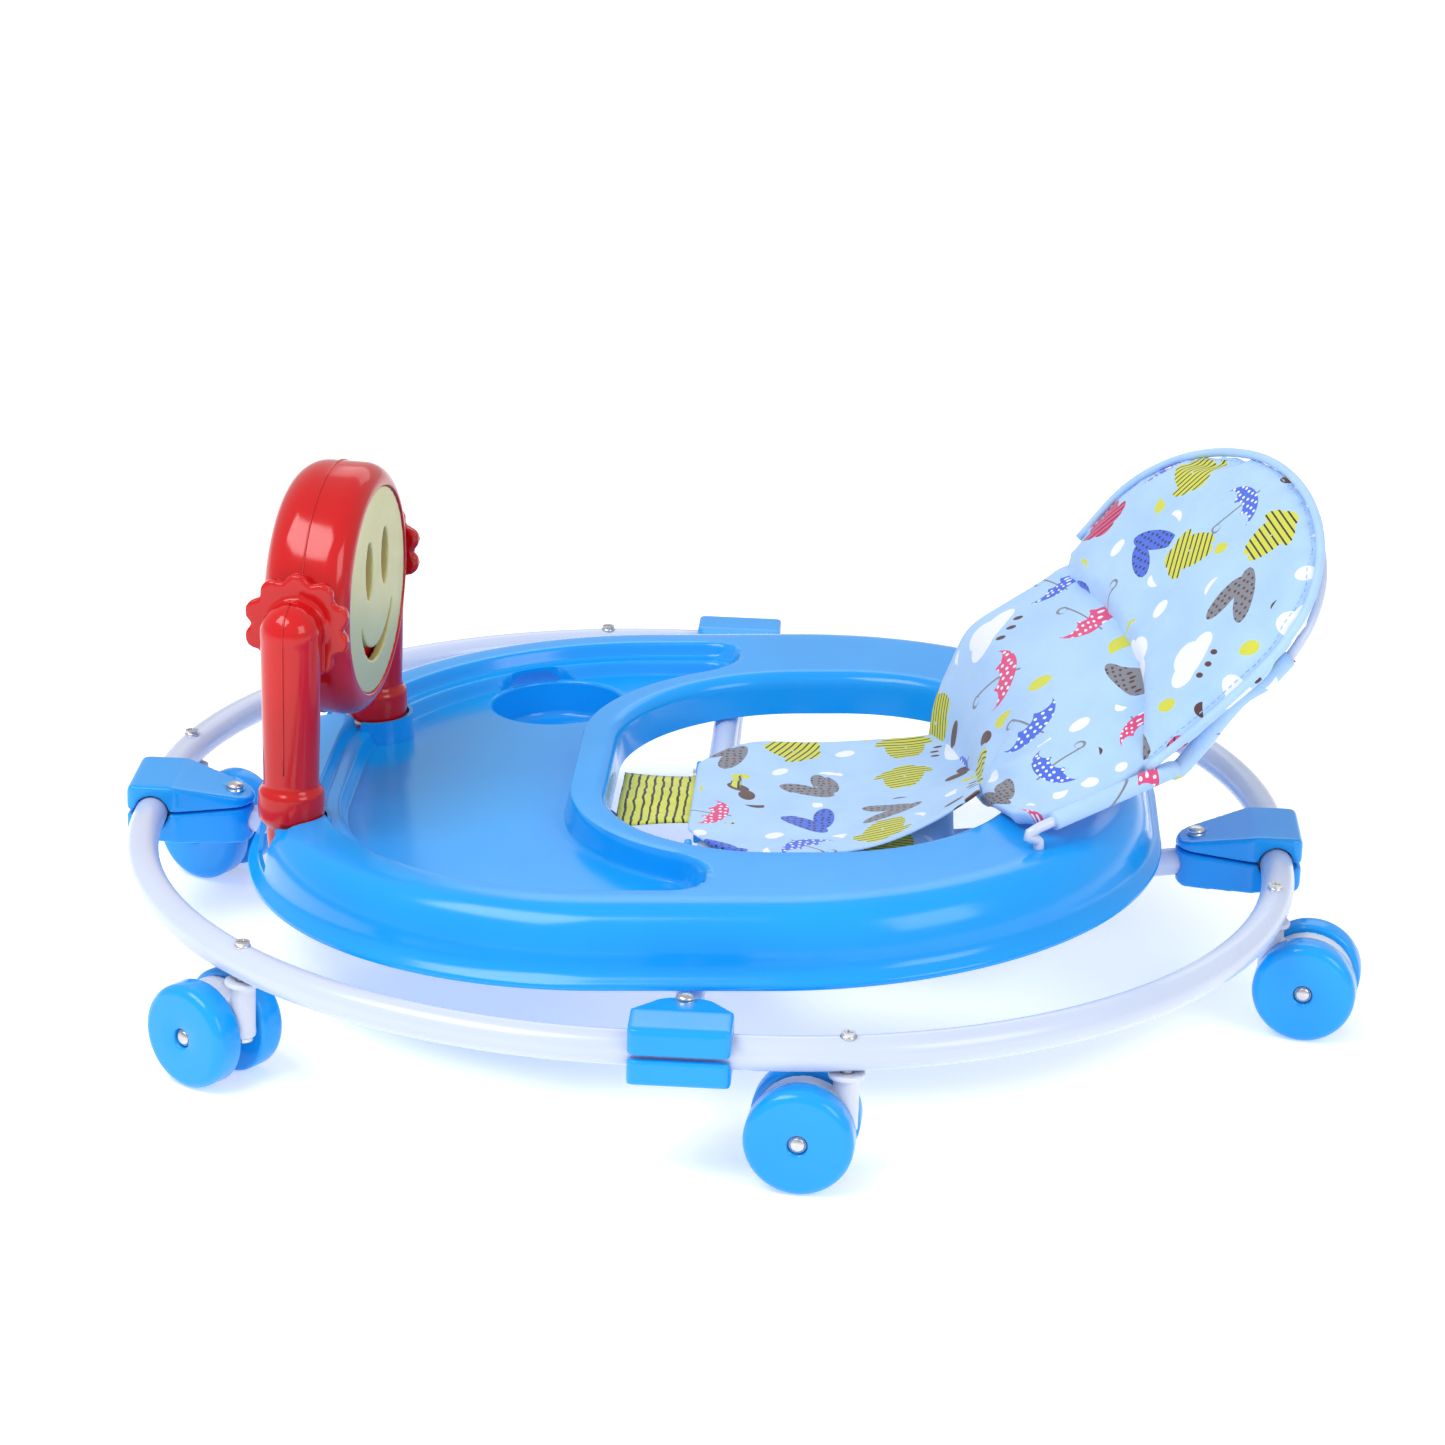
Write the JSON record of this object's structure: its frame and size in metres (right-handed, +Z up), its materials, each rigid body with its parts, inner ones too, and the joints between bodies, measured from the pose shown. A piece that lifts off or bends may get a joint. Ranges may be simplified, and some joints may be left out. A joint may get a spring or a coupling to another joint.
{
  "type": "baby walker",
  "caption": "Folding round baby walker drawn collapsed: tube ring on swivel casters, folding legs, moulded tray with cup recess, smiling toy head on posts, padded seat.",
  "frame": {"origin": "on the floor, midway between the extreme faces of the collapsed walker", "axes": "+Z up, +Y towards the backrest, toy end at -Y, +X the side the cup recess is not on"},
  "size_m": [0.7046, 0.7277, 0.3054],
  "materials": {
    "white_paint": "glossy",
    "wire_paint": "glossy",
    "steel": "polished",
    "blue_plastic": "glossy",
    "white_plastic": "satin",
    "red_plastic": "glossy",
    "yellow_plastic": "satin",
    "printed_fabric": "woven print"
  },
  "bodies": {
    "base": {"base_ring": "white_paint", "stem_pins": "steel", "ring_screws": "steel"},
    "tray": {"tray_shell": "blue_plastic", "toy_post_right": "red_plastic", "toy_post_left": "red_plastic", "toy_axle": "steel", "back_wire": "wire_paint", "seat_pad": "printed_fabric", "front_flap": "printed_fabric", "back_pad": "printed_fabric", "back_wings": "printed_fabric"},
    "head": {"toy_head": "red_plastic", "toy_face": "yellow_plastic"},
    "lower_right": {"clamp_top_right": "blue_plastic", "clamp_base_right": "blue_plastic", "lower_leg_right": "white_paint", "knee_right": "blue_plastic", "pins_right": "steel"},
    "upper_right": {"upper_leg_right": "white_paint"},
    "lower_rear": {"clamp_top_rear": "blue_plastic", "clamp_base_rear": "blue_plastic", "lower_leg_rear": "white_paint", "knee_rear": "blue_plastic", "pins_rear": "steel"},
    "upper_rear": {"upper_leg_rear": "white_paint"},
    "lower_left": {"clamp_top_left": "blue_plastic", "clamp_base_left": "blue_plastic", "lower_leg_left": "white_paint", "knee_left": "blue_plastic", "pins_left": "steel"},
    "upper_left": {"upper_leg_left": "white_paint"},
    "lower_front": {"clamp_top_front": "blue_plastic", "clamp_base_front": "blue_plastic", "lower_leg_front": "white_paint", "knee_front": "blue_plastic", "pins_front": "steel"},
    "upper_front": {"upper_leg_front": "white_paint"},
    "caster_1": {"fork_1": "white_plastic", "axle_1": "steel"},
    "wheelset_1": {"wheels_1": "blue_plastic"},
    "caster_2": {"fork_2": "white_plastic", "axle_2": "steel"},
    "wheelset_2": {"wheels_2": "blue_plastic"},
    "caster_3": {"fork_3": "white_plastic", "axle_3": "steel"},
    "wheelset_3": {"wheels_3": "blue_plastic"},
    "caster_4": {"fork_4": "white_plastic", "axle_4": "steel"},
    "wheelset_4": {"wheels_4": "blue_plastic"},
    "caster_5": {"fork_5": "white_plastic", "axle_5": "steel"},
    "wheelset_5": {"wheels_5": "blue_plastic"},
    "caster_6": {"fork_6": "white_plastic", "axle_6": "steel"},
    "wheelset_6": {"wheels_6": "blue_plastic"}
  },
  "joints": [
    {"name": "tray_lift", "type": "slide", "parent": "base", "child": "tray", "axis": [0, 0, 1], "range_m": [0, 0.2]},
    {"name": "head_spin", "type": "hinge", "parent": "tray", "child": "head", "pos_m": [0.001, -0.2428, 0.2115], "axis": [0.9903, -0.1392, 0], "continuous": true},
    {"name": "clamp_hinge_right", "type": "hinge", "parent": "base", "child": "lower_right", "pos_m": [0.332, -0.0168, 0.0735], "axis": [0, 1, 0], "range_deg": [0, 25.71]},
    {"name": "knee_hinge_right", "type": "hinge", "parent": "lower_right", "child": "upper_right", "pos_m": [0.066, -0.0168, 0.0775], "axis": [0, 1, 0], "range_deg": [-58.45, 0]},
    {"name": "clamp_hinge_rear", "type": "hinge", "parent": "base", "child": "lower_rear", "pos_m": [0, 0.3152, 0.0735], "axis": [-1, 0, 0], "range_deg": [0, 28.7]},
    {"name": "knee_hinge_rear", "type": "hinge", "parent": "lower_rear", "child": "upper_rear", "pos_m": [0, 0.0492, 0.0595], "axis": [-1, 0, 0], "range_deg": [-55.93, 0]},
    {"name": "clamp_hinge_left", "type": "hinge", "parent": "base", "child": "lower_left", "pos_m": [-0.332, -0.0168, 0.0735], "axis": [0, -1, 0], "range_deg": [0, 25.71]},
    {"name": "knee_hinge_left", "type": "hinge", "parent": "lower_left", "child": "upper_left", "pos_m": [-0.066, -0.0168, 0.0775], "axis": [0, -1, 0], "range_deg": [-58.45, 0]},
    {"name": "clamp_hinge_front", "type": "hinge", "parent": "base", "child": "lower_front", "pos_m": [0, -0.3488, 0.0735], "axis": [1, 0, 0], "range_deg": [0, 27.71]},
    {"name": "knee_hinge_front", "type": "hinge", "parent": "lower_front", "child": "upper_front", "pos_m": [0, -0.0828, 0.0655], "axis": [1, 0, 0], "range_deg": [-60.22, 0]},
    {"name": "caster_swivel_1", "type": "hinge", "parent": "base", "child": "caster_1", "pos_m": [0.32648, 0.07068, 0.0295], "axis": [0, 0, 1], "continuous": true},
    {"name": "wheel_spin_1", "type": "hinge", "parent": "caster_1", "child": "wheelset_1", "pos_m": [0.32456, 0.04876, 0.0295], "axis": [0.9962, -0.0872, 0], "continuous": true},
    {"name": "caster_swivel_2", "type": "hinge", "parent": "base", "child": "caster_2", "pos_m": [0.24355, -0.26035, 0.0295], "axis": [0, 0, 1], "continuous": true},
    {"name": "wheel_spin_2", "type": "hinge", "parent": "caster_2", "child": "wheelset_2", "pos_m": [0.23061, -0.27814, 0.0295], "axis": [0.809, -0.5878, 0], "continuous": true},
    {"name": "caster_swivel_3", "type": "hinge", "parent": "base", "child": "caster_3", "pos_m": [-0.08748, -0.34328, 0.0295], "axis": [0, 0, 1], "continuous": true},
    {"name": "wheel_spin_3", "type": "hinge", "parent": "caster_3", "child": "wheelset_3", "pos_m": [-0.07648, -0.32423, 0.0295], "axis": [-0.866, 0.5, 0], "continuous": true},
    {"name": "caster_swivel_4", "type": "hinge", "parent": "base", "child": "caster_4", "pos_m": [-0.32648, -0.10428, 0.0295], "axis": [0, 0, 1], "continuous": true},
    {"name": "wheel_spin_4", "type": "hinge", "parent": "caster_4", "child": "wheelset_4", "pos_m": [-0.32266, -0.12595, 0.0295], "axis": [0.9848, 0.1736, 0], "continuous": true},
    {"name": "caster_swivel_5", "type": "hinge", "parent": "base", "child": "caster_5", "pos_m": [-0.24355, 0.22675, 0.0295], "axis": [0, 0, 1], "continuous": true},
    {"name": "wheel_spin_5", "type": "hinge", "parent": "caster_5", "child": "wheelset_5", "pos_m": [-0.23255, 0.20769, 0.0295], "axis": [0.866, 0.5, 0], "continuous": true},
    {"name": "caster_swivel_6", "type": "hinge", "parent": "base", "child": "caster_6", "pos_m": [0.08748, 0.30968, 0.0295], "axis": [0, 0, 1], "continuous": true},
    {"name": "wheel_spin_6", "type": "hinge", "parent": "caster_6", "child": "wheelset_6", "pos_m": [0.0913, 0.33135, 0.0295], "axis": [-0.9848, 0.1736, 0], "continuous": true}
  ],
  "couplings": [
    {"joint": "clamp_hinge_right", "follows": "tray_lift", "rad_per_m": 2.2394},
    {"joint": "knee_hinge_right", "follows": "tray_lift", "rad_per_m": -5.0967},
    {"joint": "clamp_hinge_rear", "follows": "tray_lift", "rad_per_m": 2.5001},
    {"joint": "knee_hinge_rear", "follows": "tray_lift", "rad_per_m": -4.8762},
    {"joint": "clamp_hinge_left", "follows": "tray_lift", "rad_per_m": 2.2394},
    {"joint": "knee_hinge_left", "follows": "tray_lift", "rad_per_m": -5.0967},
    {"joint": "clamp_hinge_front", "follows": "tray_lift", "rad_per_m": 2.4142},
    {"joint": "knee_hinge_front", "follows": "tray_lift", "rad_per_m": -5.2504}
  ]
}
